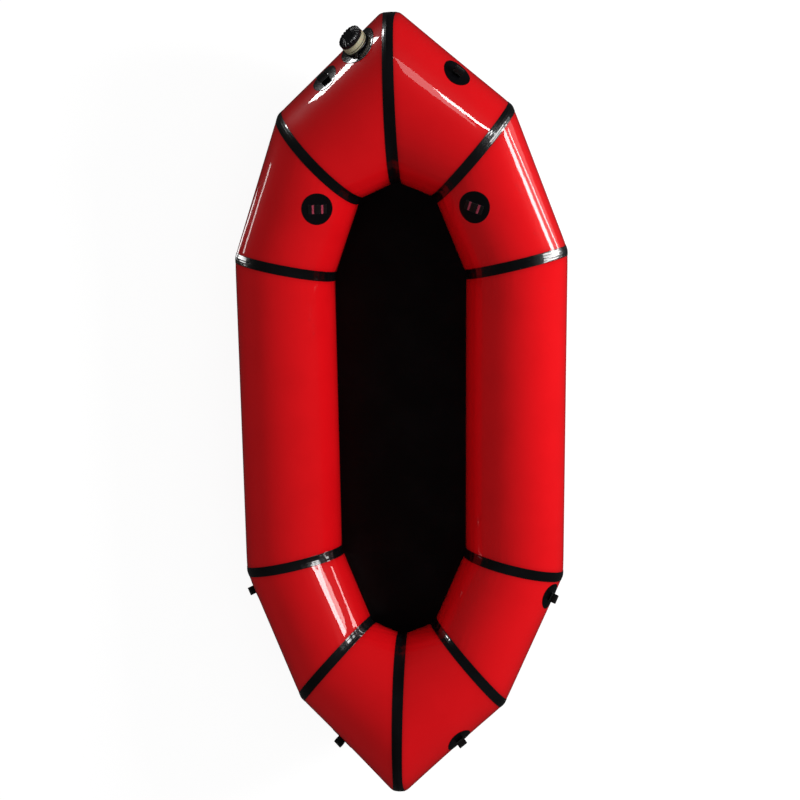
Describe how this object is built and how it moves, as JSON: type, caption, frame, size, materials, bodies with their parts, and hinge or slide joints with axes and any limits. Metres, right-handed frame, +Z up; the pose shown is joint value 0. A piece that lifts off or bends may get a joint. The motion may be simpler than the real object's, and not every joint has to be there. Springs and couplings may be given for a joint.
{
  "type": "packraft",
  "caption": "Slender inflatable boat: a pointed ring of inflated tube panels with seam tapes, an open cockpit over a floor sheet, tie loops, lash straps and a screw-capped inflation valve.",
  "frame": {"origin": "middle of the object's footprint, on the ground under the flat part of the floor sheet", "axes": "+Y towards the bow along the raft's length, +X to starboard, +Z up"},
  "size_m": [0.9964, 2.2269, 0.4435],
  "materials": {
    "red_tube_fabric": "glossy polyurethane-coated red fabric, stretched smooth by the air inside",
    "black_seam_tape": "glossy black coated tape, welded over each seam",
    "black_floor_fabric": "heavier black coated fabric with a soft sheen",
    "black_patch_fabric": "black coated fabric disc with a soft sheen",
    "black_webbing": "matte black woven polyester webbing",
    "red_thread": "dense red zigzag stitching",
    "ivory_plastic": "satin ivory moulded plastic",
    "black_plastic": "satin black moulded plastic",
    "gasket_rubber": "soft black rubber"
  },
  "bodies": {
    "hull": {"bow_panel_left": "red_tube_fabric", "bow_panel_right": "red_tube_fabric", "shoulder_panel_left": "red_tube_fabric", "shoulder_panel_right": "red_tube_fabric", "side_panel_left": "red_tube_fabric", "side_panel_right": "red_tube_fabric", "quarter_panel_left": "red_tube_fabric", "quarter_panel_right": "red_tube_fabric", "stern_panel_left": "red_tube_fabric", "stern_panel_right": "red_tube_fabric", "seam_tape_bow": "black_seam_tape", "seam_tape_stern": "black_seam_tape", "seam_tape_shoulder_left": "black_seam_tape", "seam_tape_shoulder_right": "black_seam_tape", "seam_tape_front_left": "black_seam_tape", "seam_tape_front_right": "black_seam_tape", "seam_tape_rear_left": "black_seam_tape", "seam_tape_rear_right": "black_seam_tape", "seam_tape_quarter_left": "black_seam_tape", "seam_tape_quarter_right": "black_seam_tape", "floor_sheet": "black_floor_fabric", "floor_edge_tape": "black_seam_tape", "lash_patch_left": "black_patch_fabric", "lash_patch_right": "black_patch_fabric", "lash_strap_left": "black_webbing", "lash_strap_right": "black_webbing", "bar_tack_left_outer": "red_thread", "bar_tack_left_inner": "red_thread", "bar_tack_right_outer": "red_thread", "bar_tack_right_inner": "red_thread", "tie_patch_bow_left": "black_patch_fabric", "tie_patch_bow_right": "black_patch_fabric", "tie_patch_quarter_left": "black_patch_fabric", "tie_patch_quarter_right": "black_patch_fabric", "tie_patch_stern_left": "black_patch_fabric", "tie_patch_stern_right": "black_patch_fabric", "valve_patch": "black_patch_fabric", "valve_base": "ivory_plastic", "valve_tab_ring": "black_plastic"},
    "loop_bow_left": {"tie_loop_bow_left": "black_webbing"},
    "loop_bow_right": {"tie_loop_bow_right": "black_webbing"},
    "loop_quarter_left": {"tie_loop_quarter_left": "black_webbing"},
    "loop_quarter_right": {"tie_loop_quarter_right": "black_webbing"},
    "loop_stern_left": {"tie_loop_stern_left": "black_webbing"},
    "loop_stern_right": {"tie_loop_stern_right": "black_webbing"},
    "ring_seal": {"ring_gasket": "gasket_rubber"},
    "middle_ring": {"valve_ring": "ivory_plastic"},
    "flap": {"valve_flap": "gasket_rubber"},
    "cap_seal": {"cap_gasket": "gasket_rubber"},
    "cap": {"valve_cap": "black_plastic"}
  },
  "joints": [
    {"name": "bow_left_loop_flop", "type": "hinge", "parent": "hull", "child": "loop_bow_left", "pos_m": [-0.18048, 0.93313, 0.35847], "axis": [-0.8081, -0.523, -0.2711], "range_deg": [-2, 98], "stiffness_Nm_per_rad": 0.05},
    {"name": "bow_right_loop_flop", "type": "hinge", "parent": "hull", "child": "loop_bow_right", "pos_m": [0.18048, 0.93313, 0.35847], "axis": [0.8081, -0.523, -0.2711], "range_deg": [-90, 10], "stiffness_Nm_per_rad": 0.05},
    {"name": "quarter_left_loop_flop", "type": "hinge", "parent": "hull", "child": "loop_quarter_left", "pos_m": [-0.46744, -0.56077, 0.17119], "axis": [0.4266, -0.8928, 0.1445], "range_deg": [-50, 50], "stiffness_Nm_per_rad": 0.05},
    {"name": "quarter_right_loop_flop", "type": "hinge", "parent": "hull", "child": "loop_quarter_right", "pos_m": [0.44783, -0.54488, 0.23921], "axis": [-0.4088, -0.9003, 0.1492], "range_deg": [-68, 32], "stiffness_Nm_per_rad": 0.05},
    {"name": "stern_left_loop_flop", "type": "hinge", "parent": "hull", "child": "loop_stern_left", "pos_m": [-0.17836, -0.97628, 0.3015], "axis": [0.7553, -0.522, 0.3963], "range_deg": [-50, 50], "stiffness_Nm_per_rad": 0.05},
    {"name": "stern_right_loop_flop", "type": "hinge", "parent": "hull", "child": "loop_stern_right", "pos_m": [0.17632, -0.94612, 0.34391], "axis": [-0.7859, -0.488, 0.3799], "range_deg": [-82, 18], "stiffness_Nm_per_rad": 0.05},
    {"name": "ring_lift", "type": "slide", "parent": "hull", "child": "ring_seal", "axis": [-0.5385, 0.4433, 0.7166], "range_m": [0, 0.006]},
    {"name": "ring_turn", "type": "hinge", "parent": "ring_seal", "child": "middle_ring", "pos_m": [-0.09428, 1.01216, 0.39223], "axis": [-0.5385, 0.4433, 0.7166], "range_deg": [0, 540]},
    {"name": "flap_drop", "type": "slide", "parent": "middle_ring", "child": "flap", "axis": [-0.5385, 0.4433, 0.7166], "range_m": [-0.003, 0], "stiffness_N_per_m": 60},
    {"name": "cap_lift", "type": "slide", "parent": "middle_ring", "child": "cap_seal", "axis": [-0.5385, 0.4433, 0.7166], "range_m": [0, 0.01]},
    {"name": "cap_turn", "type": "hinge", "parent": "cap_seal", "child": "cap", "pos_m": [-0.10387, 1.02005, 0.40498], "axis": [-0.5385, 0.4433, 0.7166], "range_deg": [0, 720]}
  ],
  "couplings": [
    {"joint": "ring_turn", "follows": "ring_lift", "rad_per_m": 1570.7},
    {"joint": "cap_turn", "follows": "cap_lift", "rad_per_m": 1256.6}
  ]
}
